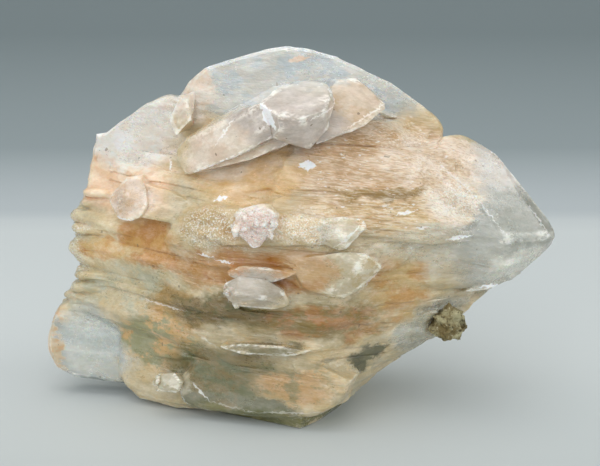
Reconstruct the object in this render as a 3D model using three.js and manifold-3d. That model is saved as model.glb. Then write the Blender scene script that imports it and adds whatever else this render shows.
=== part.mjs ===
// A natural selenite (gypsum) crystal blade: a stack of blades grown together along one length, broken
// off ragged at one end and running to a spear point at the other, with smaller crystals on its front.
// A lump of the rock it grew in is caught in its lower right edge.
// Millimetres. X runs along the blades to the point, Y from the front to the back, Z up.
import * as THREE from "three";
import { ConvexGeometry } from "three/addons/geometries/ConvexGeometry.js";
import { mergeVertices } from "three/addons/utils/BufferGeometryUtils.js";
import Module from "manifold-3d";

const wasm = await Module();
wasm.setup();

// The trunk of stacked blades, as lines of [height, value] read with along().
const LEFT_END = [
  [-4, -33], [0, -36], [5, -39], [12, -46], [18, -57], [21, -58.5], [25, -54], [31, -54], [34, -57.5],
  [37, -55], [41, -56], [44, -52], [50, -50], [58, -44],
];
const RIGHT_END = [[-4, 5], [0, 9], [12, 22], [20, 33], [30, 41], [46, 44], [58, 34]];
const NOSE_X = [[0, 0], [12, 2], [30, 6], [80, 4]];
const NOSE_Y = [[-4, -15], [0, -17], [5, -19], [12, -19], [30, -19.5], [44, -21], [52, -17], [58, -11]];
const BACK_Y = [[0, 20], [12, 22], [40, 23], [52, 21], [58, 18]];
const FULLNESS = [[0, 0.68], [12, 0.8], [30, 0.88], [58, 0.84]];
const END_Y = 7;
const POINT_Y = -2;
const TRUNK_TOP = 58;
const LAYER = { thin: 1.1, thick: 5.6, overlap: 0.25, groove: 0.22, slope: -0.07 };
const RAGGED = { end: 1.3, front: 0.3, side: 0.03 };

// The smallest gap between the rock and the crystal that holds it.
const GAP = 0.3;

// Edges and slivers smaller than this are left out.
const SMALLEST = 0.02;

// The same run of chance for every build.
let seed = 20;
function chance(low, high) {
  seed = (seed * 1664525 + 1013904223) % 4294967296;
  return low + ((high - low) * seed) / 4294967296;
}

// The value of a line of [height, value] at one height.
function along(line, height) {
  if (height <= line[0][0]) return line[0][1];
  for (let i = 1; i < line.length; i++) {
    const [h0, v0] = line[i - 1];
    const [h1, v1] = line[i];
    if (height <= h1) return v0 + ((v1 - v0) * (height - h0)) / (h1 - h0);
  }
  return line[line.length - 1][1];
}

// A closed mesh as a solid that can be joined and cut.
function solid(geometry) {
  const bare = geometry.index ? geometry.toNonIndexed() : geometry.clone();
  bare.deleteAttribute("normal");
  bare.deleteAttribute("uv");
  const merged = mergeVertices(bare, 1e-4);
  const vertProperties = new Float32Array(merged.attributes.position.array);
  const triVerts = new Uint32Array(merged.index.array);
  return new wasm.Manifold(new wasm.Mesh({ numProp: 3, vertProperties, triVerts }));
}

// A solid as a mesh for the scene.
function meshOf(body, name, material) {
  const { vertProperties, triVerts } = body.getMesh();
  const geometry = new THREE.BufferGeometry();
  geometry.setAttribute("position", new THREE.BufferAttribute(new Float32Array(vertProperties), 3));
  geometry.setIndex(new THREE.BufferAttribute(new Uint32Array(triVerts), 1));
  geometry.computeVertexNormals();
  const mesh = new THREE.Mesh(geometry, material);
  mesh.name = name;
  return mesh;
}

// The convex block round some points.
function block(points) {
  return solid(new ConvexGeometry(points.map((p) => new THREE.Vector3(...p))));
}

// The turn of a piece: rise lifts its right end, swing takes that end away from the viewer, and lean
// tips its broad face up to the light.
function turned({ at, rise = 0, swing = 0, lean = 0 }) {
  const turn = [-lean, -rise, swing].map(THREE.MathUtils.degToRad);
  const rotation = new THREE.Quaternion().setFromEuler(new THREE.Euler(...turn, "ZYX"));
  return new THREE.Matrix4().compose(new THREE.Vector3(...at), rotation, new THREE.Vector3(1, 1, 1));
}

// A tabular crystal: its broad faces, front and back, are drawn in from the edge by a bevel. tip and
// heel say how high on the width the two ends come to a point, from -0.5 to 0.5, and upper, lower,
// heelUpper and heelLower how far back each end's sides start, in millimetres.
function tablet({
  length, width, thick, tip = 0.1, upper = 4, lower = 6, heel = 0, heelUpper = 2, heelLower = 3, bevel = 1.2,
  ...place
}) {
  const outline = [
    [length / 2, tip * width],
    [length / 2 - upper, width / 2],
    [heelUpper - length / 2, width / 2],
    [-length / 2, heel * width],
    [heelLower - length / 2, -width / 2],
    [length / 2 - lower, -width / 2],
  ];
  const inner = 1 - (2 * bevel) / Math.min(width, length);
  const points = [];
  for (const [along_, across] of outline) {
    points.push([along_, 0, across]);
    points.push([along_ * inner, -thick / 2, across * inner]);
    points.push([along_ * inner, thick / 2, across * inner]);
  }
  const geometry = new ConvexGeometry(points.map((p) => new THREE.Vector3(...p)));
  return solid(geometry.applyMatrix4(turned(place)));
}

// A broad plate from its outline in X and Z, with bevelled edges, leaning back about its lowest point.
function plate({ outline, front, thick, bevel = 1.2, lean = 0, swing = 0 }) {
  const shape = new THREE.Shape(outline.map(([x, z]) => new THREE.Vector2(x, z)));
  const settings = {
    depth: thick - 2 * bevel,
    bevelEnabled: true,
    bevelThickness: bevel,
    bevelSize: bevel,
    bevelOffset: -bevel,
    bevelSegments: 1,
  };
  const geometry = new THREE.ExtrudeGeometry(shape, settings);
  geometry.rotateX(Math.PI / 2).translate(0, thick - bevel, 0);
  const foot = Math.min(...outline.map(([, z]) => z));
  const middle = outline.reduce((sum, [x]) => sum + x, 0) / outline.length;
  geometry.translate(-middle, 0, -foot);
  return solid(geometry.applyMatrix4(turned({ at: [middle, front, foot], lean, swing })));
}

// One layer's plan, counter-clockwise from the ragged end, at a height.
function plan(height, inset, stray) {
  const left = along(LEFT_END, height) + stray.end;
  const right = along(RIGHT_END, height);
  const noseX = along(NOSE_X, height);
  const noseY = along(NOSE_Y, height) + stray.front;
  const back = along(BACK_Y, height);
  const full = along(FULLNESS, height);
  const towards = (share, depth) => [left + share * (noseX - left), END_Y + depth * (noseY - END_Y)];
  const outline = [
    [left + inset, END_Y],
    towards(0.26, 0.41 + stray.left),
    towards(0.58, full + stray.middle),
    [noseX, noseY + 0.6 * inset],
    [noseX + 0.6 * (right - noseX), noseY + 0.5 * (POINT_Y - noseY) + 0.4 * inset + stray.right],
    [right - inset, POINT_Y],
    [right - 7, POINT_Y + 0.45 * (back - POINT_Y)],
    [noseX - 2, back],
    [left + 0.25 * (noseX - left), 0.75 * back],
  ];
  outline[1][1] += inset;
  outline[2][1] += inset;
  return outline.map(([x, y]) => [x, y, height + LAYER.slope * x]);
}

// The trunk: thin blades one on another, each a little longer or prouder than the next, with a groove
// between them.
function trunk() {
  const layers = [];
  for (let low = -4; low < TRUNK_TOP; ) {
    const share = chance(0, 1) ** 2;
    const high = low + LAYER.thin + share * (LAYER.thick - LAYER.thin);
    const stray = {
      end: chance(-RAGGED.end, RAGGED.end),
      front: chance(-RAGGED.front, RAGGED.front),
      left: chance(-RAGGED.side, RAGGED.side),
      middle: chance(-RAGGED.side, RAGGED.side),
      right: chance(-RAGGED.front, RAGGED.front) * 0.6,
    };
    const groove = LAYER.groove * chance(0.4, 1.2);
    const step = (high - low) * 0.3;
    const points = [
      ...plan(low - LAYER.overlap, groove, stray),
      ...plan(low + step, 0, stray),
      ...plan(high - step, 0, stray),
      ...plan(high, groove, stray),
    ];
    layers.push(block(points));
    low = high;
  }
  return layers;
}

// The silky upper right face: flat blades stepping back and up from the nose to the top edge.
const SILK = { from: 45, to: 71, steps: 11, slope: -0.1, reach: 6, back: 6 };
function silk() {
  const made = [];
  const front = [[45, -18], [50, -17.4], [56, -14.6], [64, -9.7], [70, -4.8], [75, 0]];
  const rightX = [[45, 45], [50, 41], [58, 36], [63, 32], [68, 25], [73, 15]];
  const foldX = [[54, -6], [57, -3.3], [68, 8], [73, 12]];
  const rise = (SILK.to - SILK.from) / SILK.steps;
  for (let i = 0; i < SILK.steps; i++) {
    const low = SILK.from + i * rise + chance(-0.5, 0.5);
    const high = low + rise * chance(1.1, 1.7);
    const nose = along(front, low) + chance(-0.25, 0.25);
    const back = along(front, high) + chance(-0.1, 0.3);
    const right = along(rightX, low) + chance(-1.2, 0.3);
    const fold = along(foldX, low) + chance(-1, 1);
    const left = fold - SILK.reach;
    const points = [];
    const profile = [[low - 1, nose + 1], [low, nose], [high, back], [high, SILK.back], [low - 1, SILK.back]];
    for (const [height, depth] of profile) {
      const tilt = (x) => height + SILK.slope * (x - 15);
      points.push([left, Math.max(depth, -20) + 8, tilt(left)]);
      points.push([fold, depth, tilt(fold)]);
      points.push([0.7 * right, depth + 2.6, tilt(0.7 * right)]);
      points.push([right, Math.max(depth + 10, -7.5 + 0.2 * (height - 43)), tilt(right)]);
    }
    made.push(block(points));
  }
  return made;
}

// The spear point at the right: two long facets meet on a ridge that runs to the tip, and a narrow one
// bevels each of its edges.
function spear() {
  const point = [
    [61, 0, 41.5], [60.6, 0.5, 40],
    [53, 1, 49.5], [49.5, 2, 55.5], [44, 3, 62], [39.5, 3, 65], [33.5, -0.5, 66],
    [46, -8.4, 43], [52.2, -1.6, 49], [57.6, -2.9, 41.9],
    [50, -1, 31], [43.5, -6, 30.5], [54, -4.2, 37.8], [46.5, -8.4, 35.6],
    [22, -13.5, 46], [22, -11, 31],
    [54, 4, 42], [40, 10, 56], [42, 9, 32], [20, 15, 44],
  ];
  const shelf = [
    [46, 0, 29.5], [38, -3, 22], [33.5, -2.5, 18], [21.5, 0.5, 10.5], [14, -3, 7],
    [36, 7, 26], [22, 10, 14], [18, -6, 24], [38, 0, 36], [26, 9, 34],
  ];
  const lip = [
    [52, -1.5, 32.6], [44, -7, 30.4], [38, -8, 30], [37, -3, 29], [51, 2, 32], [44, 4, 35], [48, -4, 36],
  ];
  return [block(point), block(shelf), block(lip)];
}

// The shoulder that the top crystals grow from, sloping up and back to the crown.
function shoulder() {
  const low = [
    [-32, -2, 50], [-24, -10, 53], [-6, -15, 56], [2, -14.4, 56], [8, 12, 50], [-34, 14, 48],
    [-30, 3, 60], [-20, -1, 66], [-4, -4, 70], [7, -3.4, 71], [8, 10, 74], [-22, 10, 68],
  ];
  const high = [
    [-14, 1, 70], [-2, -1, 74], [10, -1, 74], [22, 1, 69], [26, 6, 68], [18, 8, 76], [4, 9, 81],
    [-12, 9, 79], [-20, 8, 72],
  ];
  return [block(low), block(high)];
}

// The broad clear plates that make the top edge, the lobe at the lower left and the foot.
function plates() {
  const crown = [
    [-29.5, 67.5], [-28, 73.5], [-26, 77], [-22, 80.5], [-14, 83], [-8, 84.6], [-2.5, 85.5], [3, 84.6],
    [8.5, 83], [15, 79.8], [21, 77], [28, 72], [33.5, 68], [33, 62], [22, 56], [0, 54], [-20, 58],
  ];
  const wing = [
    [-48.5, 64.5], [-46, 65], [-43.5, 67], [-38.5, 70.5], [-34, 73.5], [-31, 74.5], [-28, 73], [-22, 66],
    [-24, 50], [-40, 46], [-51.5, 49], [-51, 53.5], [-50.5, 56.5], [-49.5, 59.5],
  ];
  const lobe = [
    [-58.5, 23], [-60.5, 19], [-61.5, 15], [-62, 11.5], [-60, 6.5], [-55.5, 4.2], [-46, 3.4], [-38, 2.6],
    [-30, 8], [-34, 24], [-44, 26],
  ];
  const cheek = [
    [-46, 5], [-40, 1.5], [-30, 0.5], [-16, 2], [-8, 6], [-8, 17], [-14, 25], [-28, 28], [-40, 25],
    [-46, 16],
  ];
  const apron = [
    [-29, 3.4], [-24, 2.4], [-12, 2.2], [0, 2.8], [5, 4.2], [10, 8], [12, 13], [4, 16], [-10, 17],
    [-24, 15], [-30, 9],
  ];
  return [
    plate({ outline: crown, front: 0, thick: 8.5, bevel: 0.8, lean: 8 }),
    plate({ outline: wing, front: 2.5, thick: 8, bevel: 0.7, lean: 8, swing: -9 }),
    plate({ outline: lobe, front: 4, thick: 8.5, bevel: 1.1, swing: -8 }),
    plate({ outline: cheek, front: -7.5, thick: 9, bevel: 1.5, swing: -23, lean: 3 }),
    plate({ outline: apron, front: -16.4, thick: 9, bevel: 1, lean: 3, swing: -17 }),
  ];
}

// The crystals that stand out of the front, from the top down, each by its corners.
const FRONT_CRYSTALS = {
  topChunk: [
    [-9, -14, 74.5], [-6, -12, 77], [-2, -10, 79], [1, -9, 79.5], [5.5, -10, 79], [7, -12, 77],
    [7.5, -13.5, 74.5], [6, -14.5, 69], [2, -15.5, 64.5], [-2, -17, 66.5], [-6, -17, 67.5],
    [-4.5, -19, 69.5], [-4.5, -19.4, 72.5], [0.5, -19.2, 72], [6.5, -15.5, 76], [5.5, -17, 73.5],
    [-8, 0, 70], [6, 0, 76], [4, 0, 68],
  ],
  topBlade: [
    [-29, -3.4, 63.5], [-27.5, -6.6, 60], [-25.5, -9.8, 57.5], [-14, -14.4, 63], [-6, -17, 67.4],
    [-6.5, -17.2, 70], [-9, -14, 74.5], [-14.5, -8, 72], [-19, -10.6, 65.5], [-22.5, -4.6, 66.5],
    [-24, 4, 58], [-6, 2, 66], [-14, 2, 72],
  ],
  underBlade: [
    [-26, -8.6, 57.5], [-14, -12.4, 61.2], [-11, -13.4, 62], [-2, -15.4, 66], [-5, -14, 68], [-24, -6, 60],
    [-14, 0, 58], [-2, 0, 65],
  ],
  rightPlate: [
    [8, -6, 78.5], [12.5, -5, 79], [19, -6.6, 73.5], [19, -8, 72.5], [14, -11, 69], [7, -13.5, 66.5],
    [3.5, -14.2, 65.5], [5, -11, 74], [4, 2, 78], [17, 3, 75], [10, 2, 66],
  ],
  crownEnd: [
    [-27.5, -1.5, 74.5], [-29.5, -3, 69], [-28, -4.6, 66], [-24.5, -4.4, 69.5], [-25.5, -3, 73.5],
    [-24, 4, 75], [-25, 4, 66],
  ],
  leftCrystal: [
    [-43.5, -3, 49.5], [-44, -3.2, 51], [-41.5, -4, 54], [-39.5, -4.6, 56.2], [-36.5, -5.6, 56.8],
    [-34.8, -7.2, 54], [-34.4, -8.8, 51], [-36, -9, 48], [-38.4, -8.4, 46.8], [-41.4, -6.4, 47],
    [-39.5, -6.8, 52.4], [-40, 2, 47], [-34, 2, 56], [-32, 0, 48],
  ],
  leftBlade: [
    [-37, -5.4, 55.5], [-29, -8.4, 54], [-24, -10.2, 51], [-24.6, -11, 47.6], [-30, -9.6, 46.6],
    [-36.6, -8, 47.8], [-36, 2, 54], [-24, 0, 50],
  ],
  middleLedge: [
    [-26, -11.4, 50.5], [-20.5, -15, 51.3], [-11, -18.6, 52], [0, -20.6, 51.2], [8, -21, 49],
    [-31.5, -10.6, 42], [-13, -20, 44.2], [3.5, -22.4, 44.6], [9, -21.6, 45.4], [-24, -2, 52], [8, -4, 50],
    [-26, -2, 43], [8, -4, 45],
  ],
  knotSlab: [
    [-15.6, -21.6, 49.4], [-13.6, -21.6, 52.6], [-9, -22, 54], [-6, -22, 54.4], [-4.2, -21.8, 52.6],
    [-4.8, -23.4, 49.6], [-8.6, -24.8, 45], [-10.2, -24.8, 44.6], [-13.4, -24.2, 47.8], [-12, -24.4, 51],
    [-7.6, -24.2, 52], [-10, -17, 53], [-9, -17, 46],
  ],
  middleTip: [
    [1, -21.4, 48], [4, -22.4, 50.4], [9.5, -22.8, 51.4], [14.5, -21.8, 50.2], [14.2, -22.6, 48.5],
    [10, -23, 44.2], [8.5, -22, 43.6], [4, -22, 45.4], [9, -24.2, 47], [0, -16, 49], [11, -15, 46],
  ],
  rightTip: [
    [-2, -20.6, 41.4], [9.5, -22, 43.2], [14.5, -21.4, 42.8], [18.5, -19, 39.2], [13, -20.6, 34.2],
    [9.5, -20.6, 32.2], [6, -21.8, 34], [13, -22.4, 39.4], [0.5, -21, 34], [-2, -12, 40], [14, -12, 40],
    [8, -12, 33],
  ],
  lowerChunk: [
    [-17, -22.6, 34.5], [-16.5, -22.8, 36.4], [-13, -23, 38], [-7.5, -23, 37.2], [-3.5, -22.4, 34.5],
    [-1.5, -21, 29.8], [-8, -23, 30.6], [-10.5, -24, 31.8], [-13, -24.2, 31.4], [-15.6, -24, 32.8],
    [-14.2, -25.2, 34.6], [-8, -24.4, 33.4], [-15, -16, 34], [-3, -14, 34],
  ],
  upperChunk: [
    [-16.6, -22.2, 38.6], [-13, -22.6, 40.2], [-7.5, -22.4, 39.8], [0, -21.4, 38.2], [-6, -22.8, 36.6],
    [-14, -23, 37.4], [-14, -15, 39], [0, -15, 38],
  ],
  lowBlade: [
    [-19, -17.4, 20], [-13, -19, 21.2], [-4.5, -20.4, 21.2], [2.5, -19.6, 19.6], [-2, -20.4, 18.5],
    [-13, -19.6, 18.9], [-16, -12, 20.5], [2, -12, 20], [-6, -12, 17.5],
  ],
  lowTip: [
    [14, -13.4, 12], [9.8, -14.6, 17.6], [5.5, -17.4, 16.8], [-2, -18.8, 18], [-1, -19.4, 14],
    [9, -16.8, 12.4], [7.6, -18, 14.6], [-2, -8, 17], [12, -7, 15], [8, -8, 12],
  ],
  darkFacet: [
    [9.5, -12.5, 17.5], [12.5, -12.5, 20], [18, -11, 20], [18.5, -9.5, 14.8], [15.4, -10.6, 11.5],
    [11.5, -12.8, 13.5], [10, -4, 19], [18, -3, 17], [14, -4, 11.5],
  ],
  footCrystal: [
    [-34.5, -9, 8], [-33, -9.4, 10.5], [-29, -11.4, 11.5], [-27, -12.8, 9.4], [-28, -12.8, 7],
    [-33.6, -10.6, 6.6], [-31, -12.6, 9], [-33, -3, 9], [-26, -5, 9],
  ],
  rightShelf: [
    [22, -8.6, 17.5], [25, -10.4, 23.5], [31, -9.4, 26.5], [35, -7.4, 21.5], [30, -6.4, 17.8], [24, -2, 22],
    [34, -1, 24], [26, -1, 16],
  ],
};

// A knot of small crystals, each pointing its own way from one middle.
function knot({ at, size, count, spread }) {
  const made = [];
  for (let i = 0; i < count; i++) {
    const place = at.map((v, axis) => v + chance(-spread[axis], spread[axis]));
    const length = size * chance(0.8, 1.3);
    made.push(
      tablet({
        at: place, length, width: length * chance(0.45, 0.7), thick: length * chance(0.3, 0.5),
        upper: length * 0.2, lower: length * 0.3, heelUpper: length * 0.25, heelLower: length * 0.2,
        bevel: length * 0.08, rise: chance(-80, 80), swing: chance(-50, 50), lean: chance(-40, 60),
      }),
    );
  }
  return made;
}

const KNOTS = [
  { at: [-9.6, -23.4, 50], size: 3.8, count: 11, spread: [4.2, 0.5, 3.2] },
  { at: [-39.5, -5, 51.5], size: 3.2, count: 5, spread: [3.4, 0.5, 3.6] },
  { at: [-34, -6.4, 38.5], size: 3.2, count: 3, spread: [2, 0.5, 1] },
  { at: [-12, -23.2, 34], size: 4, count: 4, spread: [3.6, 0.4, 1.8] },
  { at: [-31, -10.4, 9], size: 3.2, count: 3, spread: [2.4, 0.6, 1.6] },
  { at: [7, -15, 8], size: 5, count: 4, spread: [5, 1.2, 1.4] },
];

// Short blade ends along the ragged left edge.
function raggedEnds() {
  const made = [];
  for (let height = 21; height < 48; height += 2.9) {
    const length = chance(9, 14);
    made.push(
      tablet({
        at: [along(LEFT_END, height) + length / 2 + chance(-1.2, 1), END_Y + chance(-3.5, 3.5), height + 3.7],
        length, width: chance(2, 3.4), thick: chance(4, 7), upper: 1, lower: 1, heelUpper: 0.8, heelLower: 1,
        bevel: 0.5, rise: chance(-7, 3), swing: chance(-14, -2), lean: chance(-15, 25),
      }),
    );
  }
  return made;
}

// Where the trunk's front face lies at a place across and a height.
function frontAt(x, height) {
  const outline = plan(height, 0, { end: 0, front: 0, left: 0, middle: 0, right: 0 });
  for (let i = 1; i <= 5; i++) {
    const [x0, y0] = outline[i - 1];
    const [x1, y1] = outline[i];
    const swing = THREE.MathUtils.radToDeg(Math.atan2(y1 - y0, x1 - x0));
    if (x <= x1) return { depth: y0 + ((y1 - y0) * (x - x0)) / (x1 - x0), swing };
  }
  return { depth: POINT_Y, swing: 0 };
}

// Thin blades that lie along the trunk's front and stand a little out of it.
const SCALES = { count: 15, left: -44, right: 30, low: 13, high: 44 };
function scales() {
  const made = [];
  for (let i = 0; i < SCALES.count; i++) {
    const height = SCALES.low + ((SCALES.high - SCALES.low) * (i + chance(0, 1))) / SCALES.count;
    const x = chance(SCALES.left, Math.min(SCALES.right, along(RIGHT_END, height) - 16));
    const face = frontAt(x, height);
    const length = chance(9, 24);
    made.push(
      tablet({
        at: [x, face.depth + 1.6, height + LAYER.slope * x],
        length, width: chance(2.2, 5.5), thick: chance(3, 4), bevel: 0.6,
        tip: chance(-0.4, 0.4), upper: chance(1, 5), lower: chance(1, 5),
        heel: chance(-0.4, 0.4), heelUpper: chance(1, 4), heelLower: chance(1, 4),
        rise: chance(-8, 2), swing: face.swing + chance(-5, 5), lean: chance(-14, 18),
      }),
    );
  }
  return made;
}

// Cleavage sheets on the back, each standing a little off the next.
const BACK_SHEETS = [
  {
    at: [2, 19, 40], rise: 7, swing: -3, lean: -4, length: 74, width: 38, thick: 9,
    upper: 22, lower: 16, heelUpper: 6, heelLower: 9,
  },
  {
    at: [-10, 17, 58], rise: 16, swing: 2, lean: -12, length: 56, width: 24, thick: 8,
    tip: 0.2, upper: 12, lower: 8, heelUpper: 5, heelLower: 4,
  },
  {
    at: [-22, 19.5, 24], rise: -6, swing: 6, lean: 4, length: 44, width: 26, thick: 8,
    upper: 10, lower: 8, heelUpper: 5, heelLower: 6,
  },
  { at: [20, 14, 34], rise: 24, swing: -16, lean: -6, length: 44, width: 18, thick: 9, upper: 8, lower: 8 },
  {
    at: [-6, 22.6, 46], rise: 9, lean: -3, length: 44, width: 12, thick: 5, bevel: 0.7,
    tip: 0.3, upper: 6, lower: 10, heelUpper: 3, heelLower: 6,
  },
  {
    at: [12, 21.4, 34], rise: 5, swing: -5, lean: 2, length: 34, width: 9, thick: 5, bevel: 0.7,
    upper: 4, lower: 5, heelUpper: 6,
  },
  {
    at: [-24, 22.4, 31], rise: -3, swing: 7, length: 30, width: 8, thick: 5, bevel: 0.7,
    tip: 0, upper: 5, lower: 4, heelLower: 4,
  },
];

// What is missing from the front: the smooth honey-coloured hollow under the top crystals, and the
// pocket under the small crystal at the left, deep under that crystal and running out to the left.
function hollows() {
  const smooth = [
    [-25, -9, 57.5], [-8, -12, 65], [1, -12.6, 64], [-4, -15, 57.5], [-9, -17.4, 53], [-24, -13.5, 46],
    [-25, -34, 57.5], [-8, -34, 65], [12, -26, 67], [4, -26, 58.5], [-3, -30, 52], [-24, -34, 46],
  ];
  const pocket = [
    [-43, -2.4, 46], [-36, -3.4, 47], [-29, -7, 47], [-29.5, -9, 43.5], [-32, -8.4, 39.5],
    [-38, -4.8, 38.5], [-49, -20, 47], [-36, -20, 50], [-22, -22, 49], [-24, -24, 41], [-31, -22, 35],
    [-46, -20, 36],
  ];
  return [block(smooth), block(pocket)];
}

function joined(bodies) {
  return wasm.Manifold.union(bodies);
}

// The outer skin of a solid, without the closed voids left between crystals.
function filled(body) {
  return body.decompose().reduce((biggest, piece) => (piece.volume() > biggest.volume() ? piece : biggest));
}

// The lump of rock: a ball pushed about by three crossing waves, with rough grains.
const ROCK = { at: [34.4, -8.3, 22.3], size: [4.2, 4, 3.9], rough: 0.2 };
function rockSolid(grow) {
  const ball = new THREE.IcosahedronGeometry(1, 4);
  const places = ball.attributes.position;
  for (let i = 0; i < places.count; i++) {
    const v = new THREE.Vector3().fromBufferAttribute(places, i);
    const wave = Math.sin(5 * v.x + 2) * Math.sin(6 * v.y + 1) + Math.sin(9 * v.z + 4 * v.x) * 0.6;
    const grain = Math.sin(23 * v.x + 11 * v.z) * Math.sin(19 * v.y - 17 * v.z) * 0.5;
    v.multiplyScalar(1 + ROCK.rough * (wave + grain));
    const scaled = ROCK.size.map((s, axis) => ROCK.at[axis] + v.getComponent(axis) * (s + grow));
    places.setXYZ(i, ...scaled);
  }
  return solid(ball);
}

function floorCut() {
  return solid(new THREE.BoxGeometry(300, 300, 60).translate(0, 0, -30));
}

const body = joined([
  ...trunk(), ...silk(), ...spear(), ...shoulder(), ...plates(), ...raggedEnds(), ...scales(),
  ...BACK_SHEETS.map(tablet),
]);
const carved = hollows().reduce((left, cut) => left.subtract(cut), body);
const grown = joined([carved, ...Object.values(FRONT_CRYSTALS).map(block), ...KNOTS.flatMap(knot)]);
const rock = rockSolid(0);
const cut = grown.subtract(floorCut()).subtract(rockSolid(GAP + 0.1));
const crystal = filled(filled(cut).simplify(SMALLEST));

const selenite = new THREE.MeshStandardMaterial({ color: 0xe2d6c6, roughness: 0.25, metalness: 0 });
const matrix = new THREE.MeshStandardMaterial({ color: 0x7d7362, roughness: 0.95, metalness: 0 });

const specimen = new THREE.Group();
specimen.add(meshOf(crystal, "selenite_blade", selenite));
specimen.add(meshOf(rock, "matrix_lump", matrix));

// The origin is the middle of the footprint box, on the surface that the crystal rests on.
const box = new THREE.Box3().setFromObject(specimen);
const middle = box.getCenter(new THREE.Vector3());
specimen.position.set(-middle.x, -middle.y, -box.min.z);

export default specimen;
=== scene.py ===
import math

import bmesh
import bpy
import numpy as np
from mathutils import Matrix, Vector


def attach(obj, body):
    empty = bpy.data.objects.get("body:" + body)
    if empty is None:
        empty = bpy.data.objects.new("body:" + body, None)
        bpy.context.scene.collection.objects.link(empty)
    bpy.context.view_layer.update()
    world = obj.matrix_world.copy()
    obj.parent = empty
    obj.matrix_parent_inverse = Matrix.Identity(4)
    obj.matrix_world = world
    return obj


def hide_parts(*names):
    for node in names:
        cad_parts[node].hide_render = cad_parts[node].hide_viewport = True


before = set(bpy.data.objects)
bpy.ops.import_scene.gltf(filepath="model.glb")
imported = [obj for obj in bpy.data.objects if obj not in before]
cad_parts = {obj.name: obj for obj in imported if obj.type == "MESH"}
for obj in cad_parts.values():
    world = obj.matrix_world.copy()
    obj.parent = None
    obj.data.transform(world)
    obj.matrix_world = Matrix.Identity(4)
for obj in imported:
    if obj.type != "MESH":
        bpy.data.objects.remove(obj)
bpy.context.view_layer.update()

# Places below are millimetres in the drawing's frame, which the solids are moved from by SHIFT.
SHIFT = np.array([0.365, -0.594, 0.0])

# How far the blades run down for each millimetre to the right.
SLOPE = 0.07


def at(x, y, z):
    return Vector((np.array([x, y, z]) + SHIFT) / 1000)


def linear(hexcode):
    parts = [int(hexcode[i : i + 2], 16) / 255 for i in (0, 2, 4)]
    return tuple(p / 12.92 if p <= 0.04045 else ((p + 0.055) / 1.055) ** 2.4 for p in parts)


# Camera, at the photograph's viewing angle: its distance in metres, its lens and sensor in millimetres
PITCH = math.radians(14)
DISTANCE = 0.312
LENS = 80
SENSOR = 36
AIM = at(0, 0, 42)
cam = bpy.data.objects.new("camera", bpy.data.cameras.new("camera"))
bpy.context.scene.collection.objects.link(cam)
look = Vector((0, math.cos(PITCH), -math.sin(PITCH)))
cam.location = AIM - look * DISTANCE
cam.rotation_euler = look.to_track_quat("-Z", "Y").to_euler()
cam.data.lens = LENS
cam.data.sensor_width = SENSOR
cam.data.clip_start = 0.01
bpy.context.scene.camera = cam

# The sheet of floor and backdrop in metres: where its bend starts, the bend's radius and number of steps, how
# far the sheet runs to the front, up and to each side, and how far under the part it lies.
SHEET = {"bend": 0.17, "radius": 0.16, "steps": 16, "front": 1.6, "top": 1.6, "side": 1.8, "under": 0.0002}

# The sheet's colours by height in metres
BACKDROP = [(0.0, "D6DAD8"), (0.002, "BAC0C1"), (0.018, "8C9596"), (0.06, "6D7778"), (0.2, "6B7475")]

# Painted shade on the floor near the camera: its darker colour, where it starts and is full, and how strong
# it is.
NEAR_FLOOR_SHADE = {"colour": "A3AAA8", "start": 0.06, "full": -0.12, "share": 0.8}

# Each lamp: its place, the place that it faces and its size in metres, its power in watts and its colour.
LAMPS = {
    "top": ((-0.1, 0.0, 0.6), (0, 0, 0.03), (0.7, 0.6), 1.6, (1.0, 0.99, 0.97)),
    "front": ((-0.2, -0.7, 0.5), (0, 0, 0.04), (0.9, 0.5), 2.1, (0.99, 0.99, 1.0)),
    "low left": ((-0.3, -0.3, 0.05), (-0.06, -0.01, 0.0), (0.2, 0.08), 0.08, (1.0, 0.98, 0.94)),
    "right": ((0.55, -0.1, 0.3), (0, 0, 0.04), (0.3, 0.3), 0.7, (1.0, 0.99, 0.96)),
}

# The even light from all round
SKY_COLOUR = (0.88, 0.94, 1.0, 1)
SKY_STRENGTH = 0.72


def sweep():
    """The floor and backdrop in one bent sheet."""
    profile = [(-SHEET["front"], 0.0), (SHEET["bend"], 0.0)]
    for step in range(1, SHEET["steps"] + 1):
        angle = math.radians(90 * step / SHEET["steps"])
        across = SHEET["bend"] + SHEET["radius"] * math.sin(angle)
        profile.append((across, SHEET["radius"] * (1 - math.cos(angle))))
    profile.append((SHEET["bend"] + SHEET["radius"], SHEET["top"]))
    bm = bmesh.new()
    rows = []
    for y, z in profile:
        rows.append([bm.verts.new((x, y, z)) for x in (-SHEET["side"], SHEET["side"])])
    for (a, b), (c, d) in zip(rows, rows[1:]):
        bm.faces.new((a, b, d, c))
    me = bpy.data.meshes.new("sweep")
    bm.to_mesh(me)
    bm.free()
    for face in me.polygons:
        face.use_smooth = True
    ob = bpy.data.objects.new("sweep", me)
    bpy.context.scene.collection.objects.link(ob)
    ob.location.z = -SHEET["under"]
    me.materials.append(backdrop_material())


def backdrop_material():
    n = Nodes("sweep")
    sep = n.add("SeparateXYZ")
    n.link(n.add("TexCoord").outputs["Object"], sep.inputs[0])
    ramp = n.add("ValToRGB")
    top = BACKDROP[-1][0]
    n.link(n.math("DIVIDE", sep.outputs["Z"], top), ramp.inputs[0])
    marks = ramp.color_ramp.elements
    marks[0].color = (*linear(BACKDROP[0][1]), 1)
    marks[1].color = (*linear(BACKDROP[-1][1]), 1)
    for height, code in BACKDROP[1:-1]:
        marks.new(height / top).color = (*linear(code), 1)
    # Painted shade: the floor is darkened towards the camera.
    near = n.ranged(sep.outputs["Y"], NEAR_FLOOR_SHADE["start"], NEAR_FLOOR_SHADE["full"], 0.0, NEAR_FLOOR_SHADE["share"])
    colour = n.mixed(near, ramp.outputs[0], linear(NEAR_FLOOR_SHADE["colour"]))
    n.surface({"Base Color": colour, "Roughness": 0.75})
    return n.mat


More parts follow.
